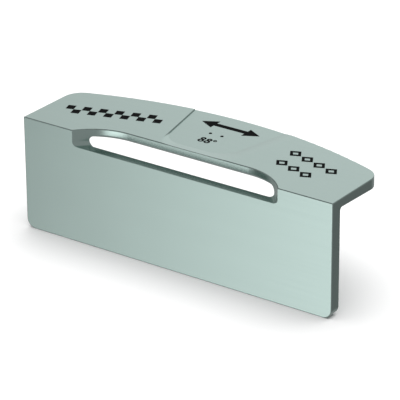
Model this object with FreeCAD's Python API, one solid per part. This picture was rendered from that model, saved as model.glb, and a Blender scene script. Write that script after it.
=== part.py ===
import FreeCAD, Part
import math
import os

# Side edge file guide for skis: one L-shaped aluminium profile with five printed marks.
# X runs along the guide, +Y from the plate to the back of the flange, +Z up, millimetres.
# Everything is drawn from the outer corner line, where the plate meets the top of the
# flange, and moved at the end so that the origin is the middle of the box's bottom.

# Driving dimensions
guide_length = 120.0
plate_height = 39.5
plate_thickness = 4.5
plate_corner_radius = 3.2
bevel_angle = 88.0              # between the plate's inner face and the flange's underside
flange_thickness = 3.05         # at the inner corner; the bevel thickens it towards the back
flange_depth = 38.3             # outer corner line to the back edge, at mid-length
flange_back_radius = 160.0
flange_corner_radius = 7.0
inner_corner_radius = 1.0
edge_break = 0.3                # rounding on every outside edge

# Slot along the outer corner, through flange and plate
slot_half_length = 39.95
slot_depth = 8.12               # into the flange, from the plate's front face
slot_drop = 5.55                # into the plate, from the top face
slot_end_radius = 20.5
slot_floor_radius = 1.5
slot_chamfer = 1.1              # all round the slot's inner rim

# Thumb recess in the top of the flange, open at the back
recess_depth = 0.4
recess_front = 11.4             # outer corner line to the floor's front edge
recess_front_half_width = 12.0
recess_flare = 0.22             # widening of each side per millimetre towards the back
recess_corner_radius = 8.0
recess_wall_run = 0.15          # the left wall is steep
recess_blend_run = 5.0          # the front and right sides run out gently
recess_steps = 4                # outlines from the floor to the top face
recess_ease = 0.75              # 0 gives a straight run-out, 1 one that ends level with the top
recess_overrun = 0.25           # how far the run-out carries on above the top face
recess_overrun_height = 0.12

# Printed marks, each placed by the middle of its box
ink_thickness = 0.05
side_print_angle = 17.5         # the side prints are turned to follow the back edge

chequer_centre = (-36.9, 18.5)
chequer_length = 33.9
chequer_height = 6.1
chequer_columns = 12
chequer_gap = 0.1

arrow_centre = (0.9, 31.0)
arrow_length = 22.5
arrow_height = 5.5
arrow_head_length = 5.2
arrow_shaft_height = 1.9

dot_diameter = 1.1
dot_depth = 24.15               # from the outer corner line
dot_half_spacing = 2.25

figure_centre = (-0.45, 18.6)
figure_height = 3.6
figure_width = 2.15
figure_pitch = 2.35
figure_stroke = 0.66
figure_bar_stroke = 0.5         # the level strokes are thinner
figure_lower_height = 2.0
figure_upper_height = 1.8
figure_upper_width = 1.9
degree_diameter = 1.3

diamond_centre = (37.0, 18.9)
diamond_row_counts = (4, 3)
diamond_row_spacing = 7.9
diamond_pitch = 5.85
diamond_width = 5.4
diamond_height = 4.75
diamond_stroke = 0.95

# Helpers
over = 5.0                      # how far a cutter runs past what it cuts
tolerance = 0.01                # places closer than this are the same
longest_seam = plate_thickness + 1.0


def vec(x, y, z=0.0):
    return FreeCAD.Vector(x, y, z)


def line(a, b):
    return Part.LineSegment(a, b).toShape()


def arc(a, mid, b):
    return Part.Arc(a, mid, b).toShape()


def prism(edges, direction):
    return Part.Face(Part.Wire(edges)).extrude(direction)


def rounded_path(points, radii):
    """Straight edges through the points, with a tangent arc of the given radius at each inner one."""
    edges = []
    start = points[0]
    for before, corner, after, radius in zip(points, points[1:], points[2:], radii):
        into = (before - corner).normalize()
        out = (after - corner).normalize()
        half = into.getAngle(out) / 2
        tangent = radius / math.tan(half)
        centre = corner + (into + out).normalize() * (radius / math.sin(half))
        first, last = corner + into * tangent, corner + out * tangent
        middle = centre + (corner - centre).normalize() * radius
        edges += [line(start, first), arc(first, middle, last)]
        start = last
    return edges + [line(start, points[-1])]


def back_depth(x):
    """Depth of the flange's bowed back edge at a place along the guide."""
    return flange_depth - flange_back_radius + math.sqrt(flange_back_radius ** 2 - x ** 2)


def profile_bar():
    """The L section, run the full length."""
    slope = math.tan(math.radians(90.0 - bevel_angle))
    tip = -flange_thickness - slope * (flange_depth - plate_thickness)
    outside = [vec(0, plate_thickness, -plate_height), vec(0, 0, -plate_height), vec(0, 0, 0),
               vec(0, flange_depth, 0), vec(0, flange_depth, tip)]
    inside = rounded_path([outside[-1], vec(0, plate_thickness, -flange_thickness), outside[0]],
                          [inner_corner_radius])
    edges = [line(a, b) for a, b in zip(outside, outside[1:])] + inside
    bar = prism(edges, vec(guide_length, 0, 0))
    return bar.translated(vec(-guide_length / 2, 0, 0))


def plan_outline():
    """Prism of the guide seen from above: square ends, bowed back edge, rounded back corners."""
    half = guide_length / 2
    bow = arc(vec(half, back_depth(half), over), vec(0, flange_depth, over),
              vec(-half, back_depth(half), over))
    edges = [line(vec(-half, -over, over), vec(half, -over, over)),
             line(vec(half, -over, over), vec(half, back_depth(half), over)), bow,
             line(vec(-half, back_depth(half), over), vec(-half, -over, over))]
    outline = prism(edges, vec(0, 0, -plate_height - 2 * over))
    corners = [e for e in outline.Edges
               if abs(abs(e.CenterOfMass.x) - half) < tolerance and e.CenterOfMass.y > over
               and abs(e.tangentAt(e.FirstParameter).z) > 1 - tolerance]
    return outline.makeFillet(flange_corner_radius, corners)


def front_outline():
    """Prism of the guide seen from the front, with the plate's rounded lower corners."""
    half = guide_length / 2
    points = [vec(-half, -over, over), vec(-half, -over, -plate_height),
              vec(half, -over, -plate_height), vec(half, -over, over)]
    edges = rounded_path(points, [plate_corner_radius] * 2) + [line(points[-1], points[0])]
    return prism(edges, vec(0, flange_depth + 2 * over, 0))


def slot_cutter():
    """A bow-ended pocket from above, with a rounded foot where its ends meet its floor."""
    centre_y = slot_depth - slot_end_radius
    centre_x = slot_half_length - math.sqrt(slot_end_radius ** 2 - centre_y ** 2)
    turn = math.acos(-centre_y / slot_end_radius)
    flare = over / math.tan(turn)  # in front of the plate the ends carry on along their tangents
    sides = []
    for side in (-1, 1):
        points = [vec(side * (slot_half_length + flare), -over)]
        points += [vec(side * (centre_x + slot_end_radius * math.sin(angle)),
                       centre_y + slot_end_radius * math.cos(angle)) for angle in (turn, turn / 2, 0)]
        sides.append(points)
    left, right = sides
    edges = [line(left[0], left[1]), arc(*left[1:]), line(left[3], right[3]),
             arc(right[3], right[2], right[1]), line(right[1], right[0]), line(right[0], left[0])]
    pocket = prism(edges, vec(0, 0, slot_drop + over)).translated(vec(0, 0, -slot_drop))
    feet = [e for e in pocket.Edges
            if abs(e.CenterOfMass.z + slot_drop) < tolerance and e.CenterOfMass.y > tolerance - over]
    return pocket.makeFillet(slot_floor_radius, feet)


def recess_wire(blend, height):
    """The recess's outline at one height; blend goes from 0 at the floor to 1 at the top face."""
    front = recess_front - recess_blend_run * blend
    sides = []
    for sign, run in ((-1, recess_wall_run), (1, recess_blend_run)):
        foot = recess_front_half_width + recess_flare * (front - recess_front) + run * blend
        rear = foot + recess_flare * (flange_depth + over - front)
        sides.append((vec(sign * rear, flange_depth + over, height), vec(sign * foot, front, height)))
    points = [sides[0][0], sides[0][1], sides[1][1], sides[1][0]]
    edges = rounded_path(points, [recess_corner_radius] * 2) + [line(points[-1], points[0])]
    return Part.Wire(edges)


def recess_cutter():
    """Flat floor, steep left wall, and a shallow curved run-out to the front and the right."""
    wires = []
    for step in range(recess_steps + 1):
        blend = step / recess_steps
        wires.append(recess_wire(blend, -recess_depth * (1 - blend) * (1 - recess_ease * blend)))
    wires.append(recess_wire(1 + recess_overrun, recess_overrun_height))
    return Part.makeLoft(wires, True, False)


def in_slot(edge):
    """True for the edges of the slot and its chamfer, below its rim in the flange's top."""
    x, y, z = edge.CenterOfMass
    lowest = -slot_drop - slot_chamfer - tolerance
    return abs(x) < slot_half_length and y < 2 * slot_depth and lowest < z < -tolerance


def is_plate_rim(edge):
    """True for the slot's rim in the plate's inner face, which runs on smoothly under the flange."""
    return in_slot(edge) and abs(edge.CenterOfMass.y - plate_thickness) < tolerance


def gets_edge_break(edge):
    """True for the outside edges, but not inside the slot, nor where faces run smoothly."""
    if edge.Curve.TypeId == "Part::GeomLine":
        lengthwise = abs(edge.tangentAt(edge.FirstParameter).x)
        is_seam = edge.Length < longest_seam and lengthwise < tolerance
        is_corner_seam = lengthwise > 1 - tolerance and -slot_drop < edge.CenterOfMass.z < -tolerance
        if is_seam or is_corner_seam:
            return False
    return not in_slot(edge)


def guide_body():
    """The finished aluminium body."""
    body = profile_bar().common(plan_outline()).common(front_outline())
    body = body.cut(slot_cutter()).removeSplitter()
    body = body.makeChamfer(slot_chamfer, [e for e in body.Edges if is_plate_rim(e)])
    body = body.makeFillet(edge_break, [e for e in body.Edges if gets_edge_break(e)])
    return body.cut(recess_cutter())


def polygon(points):
    return Part.Face(Part.makePolygon([vec(*p) for p in points] + [vec(*points[0])]))


def ellipse(centre, width, height):
    """A flat ellipse, wide or tall."""
    long_way, short_way = max(width, height) / 2, min(width, height) / 2
    curve = Part.Ellipse(vec(0, 0), long_way, short_way).toShape()
    if height > width:
        curve.rotate(vec(0, 0), vec(0, 0, 1), 90)
    return Part.Face(Part.Wire(curve)).translated(vec(*centre))


def ink(faces, centre=(0, 0), angle=0.0, height=0.0):
    """Solids of dried ink from flat faces drawn about the origin, laid on a surface."""
    layer = Part.makeCompound([face.extrude(vec(0, 0, ink_thickness)) for face in faces])
    layer.rotate(vec(0, 0), vec(0, 0, 1), angle)
    return layer.translated(vec(centre[0], centre[1], height))


def chequer_print():
    """A two-row chequered band on the left of the flange."""
    width, height = chequer_length / chequer_columns, chequer_height / 2
    cells = []
    for column in range(chequer_columns):
        left = -chequer_length / 2 + column * width + chequer_gap / 2
        low = -height * (column % 2) + chequer_gap / 2
        right, high = left + width - chequer_gap, low + height - chequer_gap
        cells.append(polygon([(left, low), (right, low), (right, high), (left, high)]))
    return ink(cells, chequer_centre, side_print_angle)


def arrow_print():
    """A double-headed arrow in the recess, for the direction of the stroke."""
    tip, neck = arrow_length / 2, arrow_length / 2 - arrow_head_length
    barb, shaft = arrow_height / 2, arrow_shaft_height / 2
    right = [(neck, -shaft), (neck, -barb), (tip, 0), (neck, barb), (neck, shaft)]
    left = [(-x, -y) for x, y in right]
    return ink([polygon(right + left)], arrow_centre, height=-recess_depth)


def dots_print():
    """Two index dots above the angle figures."""
    dots = [ellipse((side * dot_half_spacing, 0), dot_diameter, dot_diameter) for side in (-1, 1)]
    return ink(dots, (0, dot_depth), height=-recess_depth)


def figures_print():
    """The bevel angle, 88 degrees, as two eights and a ring."""
    faces = []
    for side in (-0.5, 0.5):
        x = side * figure_pitch
        loops = [((x, (figure_lower_height - figure_height) / 2), figure_width, figure_lower_height),
                 ((x, (figure_height - figure_upper_height) / 2), figure_upper_width, figure_upper_height)]
        digit = ellipse(*loops[0]).fuse(ellipse(*loops[1])).removeSplitter()
        for centre, width, height in loops:
            digit = digit.cut(ellipse(centre, width - 2 * figure_stroke, height - 2 * figure_bar_stroke))
        faces += digit.Faces
    ring_place = (1.5 * figure_pitch - (figure_width - degree_diameter) / 2,
                  (figure_height - degree_diameter) / 2)
    hole = degree_diameter - figure_stroke
    ring = ellipse(ring_place, degree_diameter, degree_diameter).cut(ellipse(ring_place, hole, hole))
    return ink(faces + ring.Faces, figure_centre, height=-recess_depth)


def diamond_print():
    """Two rows of diamond outlines on the right of the flange."""
    wide, tall = diamond_width / 2, diamond_height / 2
    side = math.hypot(wide, tall)
    inner_wide = wide - diamond_stroke * side / tall
    inner_tall = tall - diamond_stroke * side / wide
    outlines = []
    for row, count in enumerate(diamond_row_counts):
        y = diamond_row_spacing * (0.5 - row)
        for place in range(count):
            x = diamond_pitch * (place - (count - 1) / 2)
            outer, inner = [polygon([(x - a, y), (x, y - b), (x + a, y), (x, y + b)])
                            for a, b in ((wide, tall), (inner_wide, inner_tall))]
            outlines += outer.cut(inner).Faces
    return ink(outlines, diamond_centre, -side_print_angle)


def main():
    nodes = {
        "guide_body": guide_body(),
        "chequer_print": chequer_print(),
        "arrow_print": arrow_print(),
        "index_dots_print": dots_print(),
        "angle_figures_print": figures_print(),
        "diamond_print": diamond_print(),
    }
    os.makedirs("parts", exist_ok=True)
    origin_shift = vec(0, -flange_depth / 2, plate_height)
    for name, shape in nodes.items():
        placed = shape.translated(origin_shift)
        placed.exportStep(f"parts/{name}.step")
        box = placed.BoundBox
        print(name, "solids", len(placed.Solids), "valid", placed.isValid(),
              "volume", round(placed.Volume, 2),
              "x", round(box.XMin, 2), round(box.XMax, 2),
              "y", round(box.YMin, 2), round(box.YMax, 2),
              "z", round(box.ZMin, 2), round(box.ZMax, 2))


if __name__ == "__main__":
    main()
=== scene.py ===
import math

import bpy
from bpy.props import FloatProperty, FloatVectorProperty, PointerProperty
from mathutils import Matrix, Vector


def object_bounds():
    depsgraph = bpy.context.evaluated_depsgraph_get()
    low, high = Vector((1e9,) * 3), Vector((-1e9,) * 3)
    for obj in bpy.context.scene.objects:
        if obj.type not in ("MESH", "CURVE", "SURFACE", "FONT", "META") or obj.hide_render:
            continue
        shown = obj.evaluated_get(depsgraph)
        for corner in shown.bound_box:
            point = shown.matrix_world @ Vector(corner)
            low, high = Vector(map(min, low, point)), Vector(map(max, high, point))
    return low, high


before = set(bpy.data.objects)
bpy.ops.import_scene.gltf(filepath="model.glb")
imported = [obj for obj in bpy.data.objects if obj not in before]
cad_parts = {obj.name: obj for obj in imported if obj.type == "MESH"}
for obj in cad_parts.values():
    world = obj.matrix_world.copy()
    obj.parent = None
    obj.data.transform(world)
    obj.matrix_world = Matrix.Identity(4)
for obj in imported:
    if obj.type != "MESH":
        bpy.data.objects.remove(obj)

bl_info = {
    "name": "Ski edge file guide",
    "version": (1, 0, 0),
    "blender": (4, 5, 0),
    "location": "3D View > Sidebar > File guide",
    "description": "Finishes the aluminium file guide and its printed marks, and sets up the studio",
    "category": "Object",
}

CAD_LOW, CAD_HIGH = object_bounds()
# The studio round the guide. Softboxes add to its dim surroundings and dark flags take away from them:
# azimuth, elevation and edge angle in degrees, and strength.
AMBIENT = 0.4
SOFTBOXES = {
    "front_box": (-15, -25, 30, 1.5),   # seen in the plate's front face, brighter to the right
    "left_flag": (-55, -25, 25, -0.3),  # darkens the plate's left end
    "top_box": (203, 20, 28, 0.65),     # seen in the flange's top
    "end_flag": (145, -25, 25, -0.2),   # keeps the right-hand end faces dark
    "edge_flag": (-50, 50, 25, -0.35),  # draws the thin dark line along the outer corner
}
LOOK_RIGHT, LOOK_DOWN = 0.0107, 0.0116  # point looked at, from the middle of the front face's top edge
OVERHEAD_PLACE, OVERHEAD_SIZE = (0, 0.1, 1.2), 1.6
FLOOR_COLOUR, FLOOR_ROUGHNESS = (0.9, 0.9, 0.9, 1), 0.9

# Texture sizes, in cycles per metre
CLOUD_SCALE = 45.0
GRAIN_SCALE = 2600.0
LINE_SCALE = (15.0, 1500.0, 1500.0)     # long along the profile, fine across it
INK_PATCH_SCALE = 400.0

# How strongly they show
METAL_TINT = 0.04                       # either way, as a share of the colour
METAL_WEAR = 0.02                       # either way, in roughness
GRAIN_STRENGTH, LINE_STRENGTH, RELIEF = 0.12, 0.1, 0.00004
INK_TINT = 0.4
INK_ROUGHNESS, INK_WEAR, INK_SPECULAR = 0.5, 0.08, 0.02
PRINT_NODES = [name for name in sorted(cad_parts) if name.endswith("_print")]


class BodySettings(bpy.types.PropertyGroup):
    colour: FloatVectorProperty(
        name="Colour", description="Colour of the anodised aluminium",
        subtype="COLOR", size=3, min=0, max=1, default=(0.50, 0.63, 0.595))
    roughness: FloatProperty(
        name="Roughness", description="How satin the anodised surface is",
        subtype="FACTOR", min=0, max=1, default=0.24)


class InkSettings(bpy.types.PropertyGroup):
    colour: FloatVectorProperty(
        name="Colour", description="Colour of the printing ink",
        subtype="COLOR", size=3, min=0, max=1, default=(0.0012, 0.0018, 0.0018))


class StageSettings(bpy.types.PropertyGroup):
    floor_size: FloatProperty(
        name="Floor size", description="Side of the square floor", unit="LENGTH", default=8.0)
    overhead_power: FloatProperty(
        name="Overhead power", description="Power of the overhead softbox", unit="POWER", default=24.0)
    azimuth: FloatProperty(
        name="Camera azimuth", description="Angle round the guide, from straight in front",
        subtype="ANGLE", default=math.radians(35.6))
    elevation: FloatProperty(
        name="Camera elevation", description="Angle above the horizon",
        subtype="ANGLE", default=math.radians(24.6))
    roll: FloatProperty(
        name="Camera roll", description="Turn about the line of sight",
        subtype="ANGLE", default=math.radians(-0.4))
    distance: FloatProperty(
        name="Camera distance", description="From the point looked at", unit="LENGTH", default=0.813)
    lens: FloatProperty(
        name="Lens", description="Focal length in millimetres", default=233.0)


class Nodes:
    """Short calls for building one node tree; an input given a node takes its output in use."""

    def __init__(self, owner):
        owner.use_nodes = True
        self.tree = owner.node_tree
        self.tree.nodes.clear()

    def add(self, kind, inputs=None, **attributes):
        node = self.tree.nodes.new(kind)
        for name, value in attributes.items():
            setattr(node, name, value)
        for name, value in (inputs or {}).items():
            socket = node.inputs[name] if isinstance(name, int) else self.in_use(node.inputs, name)
            if isinstance(value, bpy.types.Node):
                value = self.in_use(value.outputs)
            if isinstance(value, bpy.types.NodeSocket):
                self.tree.links.new(value, socket)
            else:
                socket.default_value = value
        return node

    @staticmethod
    def in_use(sockets, name=None):
        """The first enabled socket; some nodes have one of each name for every kind of data."""
        return next(s for s in sockets if s.enabled and name in (None, s.name))


def shades(colour, share):
    """A darker and a lighter colour, as the two ends of a mix."""
    return {"A": (*(c * (1 - share) for c in colour), 1), "B": (*(c * (1 + share) for c in colour), 1)}


def anodised_aluminium(settings):
    """Bead-blasted and anodised metal, with faint drawing lines along the profile."""
    material = bpy.data.materials.new("anodised_aluminium")
    n = Nodes(material)
    place = n.add("ShaderNodeTexCoord").outputs["Object"]
    clouds = n.add("ShaderNodeTexNoise", {"Vector": place, "Scale": CLOUD_SCALE, "Detail": 3.0})
    along = n.add("ShaderNodeMapping", {"Vector": place, "Scale": LINE_SCALE})
    lines = n.add("ShaderNodeTexNoise", {"Vector": along, "Scale": 1.0, "Detail": 2.0})
    grain = n.add("ShaderNodeTexNoise", {"Vector": place, "Scale": GRAIN_SCALE, "Detail": 1.0})

    tint = n.add("ShaderNodeMix", {"Factor": clouds, **shades(settings.colour, METAL_TINT)},
                 data_type="RGBA")
    wear = n.add("ShaderNodeMath", {0: clouds, 1: lines}, operation="ADD")
    roughness = n.add("ShaderNodeMapRange", {
        "Value": wear, "From Min": 0.6, "From Max": 1.4,
        "To Min": settings.roughness - METAL_WEAR, "To Max": settings.roughness + METAL_WEAR})
    blasted = n.add("ShaderNodeBump", {"Height": grain, "Strength": GRAIN_STRENGTH, "Distance": RELIEF})
    drawn = n.add("ShaderNodeBump", {
        "Height": lines, "Strength": LINE_STRENGTH, "Distance": RELIEF, "Normal": blasted})
    shader = n.add("ShaderNodeBsdfPrincipled", {
        "Base Color": tint, "Metallic": 1.0, "Roughness": roughness, "Normal": drawn})
    n.add("ShaderNodeOutputMaterial", {"Surface": shader})
    return material


def black_ink(settings):
    """Slightly uneven pad-printed ink."""
    material = bpy.data.materials.new("black_ink")
    n = Nodes(material)
    place = n.add("ShaderNodeTexCoord").outputs["Object"]
    patches = n.add("ShaderNodeTexNoise", {"Vector": place, "Scale": INK_PATCH_SCALE, "Detail": 3.0})
    tint = n.add("ShaderNodeMix", {"Factor": patches, **shades(settings.colour, INK_TINT)},
                 data_type="RGBA")
    roughness = n.add("ShaderNodeMapRange", {
        "Value": patches, "To Min": INK_ROUGHNESS - INK_WEAR, "To Max": INK_ROUGHNESS + INK_WEAR})
    shader = n.add("ShaderNodeBsdfPrincipled", {
        "Base Color": tint, "Roughness": roughness, "Specular IOR Level": INK_SPECULAR})
    n.add("ShaderNodeOutputMaterial", {"Surface": shader})
    return material


def pale_floor():
    material = bpy.data.materials.new("pale_floor")
    n = Nodes(material)
    shader = n.add("ShaderNodeBsdfPrincipled", {"Base Color": FLOOR_COLOUR, "Roughness": FLOOR_ROUGHNESS})
    n.add("ShaderNodeOutputMaterial", {"Surface": shader})
    return material


def dress(node, material):
    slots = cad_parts[node].data.materials
    slots.clear()
    slots.append(material)


class GUIDE_OT_body(bpy.types.Operator):
    """Give the aluminium body its anodised finish"""
    bl_idname = "guide.body"
    bl_label = "Aluminium body"

    def execute(self, context):
        dress("guide_body", anodised_aluminium(context.scene.guide_body))
        return {"FINISHED"}


class GUIDE_OT_prints(bpy.types.Operator):
    """Give the printed marks their ink"""
    bl_idname = "guide.prints"
    bl_label = "Printed marks"

    def execute(self, context):
        ink = black_ink(context.scene.guide_ink)
        for node in PRINT_NODES:
            dress(node, ink)
        return {"FINISHED"}


def toward(azimuth, elevation):
    """Unit vector for a direction seen from the guide; azimuth 0 is straight in front of it."""
    return Vector((math.sin(azimuth) * math.cos(elevation), -math.cos(azimuth) * math.cos(elevation),
                   math.sin(elevation)))


def patch(n, sky, azimuth, elevation, edge, strength):
    """A soft round patch far away, which fades out at its edge's angle from its middle."""
    middle = toward(math.radians(azimuth), math.radians(elevation))
    facing = n.add("ShaderNodeVectorMath", {0: sky, 1: middle}, operation="DOT_PRODUCT")
    return n.add("ShaderNodeMapRange", {
        "Value": facing.outputs["Value"], "From Min": math.cos(math.radians(edge)),
        "To Max": strength}, interpolation_type="SMOOTHERSTEP")


def studio_world(scene):
    """Dim surroundings, with the softboxes added and the flags taken away."""
    world = bpy.data.worlds.new("studio")
    n = Nodes(world)
    sky = n.add("ShaderNodeTexCoord").outputs["Generated"]
    total = AMBIENT
    for box in SOFTBOXES.values():
        total = n.add("ShaderNodeMath", {0: total, 1: patch(n, sky, *box)}, operation="ADD")
    background = n.add("ShaderNodeBackground", {"Strength": total})
    n.add("ShaderNodeOutputWorld", {"Surface": background})
    scene.world = world


def overhead_lamp(power):
    """A square lamp above the guide, which isn't seen in the metal."""
    bpy.ops.object.light_add(type="AREA", location=OVERHEAD_PLACE)
    lamp = bpy.context.object
    lamp.name = "overhead"
    lamp.data.size = OVERHEAD_SIZE
    lamp.data.energy = power
    lamp.visible_glossy = False
    aim = -Vector(OVERHEAD_PLACE)
    lamp.rotation_euler = aim.to_track_quat("-Z", "Y").to_euler()


def studio_floor(size):
    bpy.ops.mesh.primitive_plane_add(size=size, location=(0, 0, CAD_LOW.z))
    floor = bpy.context.object
    floor.name = "floor"
    floor.data.materials.append(pale_floor())
    floor.visible_glossy = False


def studio_camera(settings):
    target = Vector((LOOK_RIGHT, CAD_LOW.y, CAD_HIGH.z - LOOK_DOWN))
    back = toward(settings.azimuth, settings.elevation)
    bpy.ops.object.camera_add(location=target + back * settings.distance)
    camera = bpy.context.object
    turn = (-back).to_track_quat("-Z", "Y").to_matrix() @ Matrix.Rotation(settings.roll, 3, "Z")
    camera.rotation_euler = turn.to_euler()
    camera.data.lens = settings.lens
    camera.data.sensor_width = 36
    camera.data.clip_start = 0.01
    return camera


class GUIDE_OT_stage(bpy.types.Operator):
    """Make the floor, the lights and the camera"""
    bl_idname = "guide.stage"
    bl_label = "Stage"

    def execute(self, context):
        settings = context.scene.guide_stage
        studio_floor(settings.floor_size)
        studio_world(context.scene)
        overhead_lamp(settings.overhead_power)
        context.scene.camera = studio_camera(settings)
        context.scene.view_settings.view_transform = "Standard"
        return {"FINISHED"}


class GUIDE_PT_panel(bpy.types.Panel):
    """The guide's pieces and settings"""
    bl_idname = "GUIDE_PT_panel"
    bl_label = "File guide"
    bl_space_type = "VIEW_3D"
    bl_region_type = "UI"
    bl_category = "File guide"

    def draw(self, context):
        for operator in ("guide.body", "guide.prints", "guide.stage"):
            self.layout.operator(operator)


CLASSES = (BodySettings, InkSettings, StageSettings, GUIDE_OT_body, GUIDE_OT_prints,
           GUIDE_OT_stage, GUIDE_PT_panel)


def register():
    for cls in CLASSES:
        bpy.utils.register_class(cls)
    bpy.types.Scene.guide_body = PointerProperty(type=BodySettings)
    bpy.types.Scene.guide_ink = PointerProperty(type=InkSettings)
    bpy.types.Scene.guide_stage = PointerProperty(type=StageSettings)


def unregister():
    del bpy.types.Scene.guide_stage
    del bpy.types.Scene.guide_ink
    del bpy.types.Scene.guide_body
    for cls in reversed(CLASSES):
        bpy.utils.unregister_class(cls)


def main():
    register()
    bpy.ops.guide.body()
    bpy.ops.guide.prints()
    bpy.ops.guide.stage()


if __name__ == "__main__":
    main()
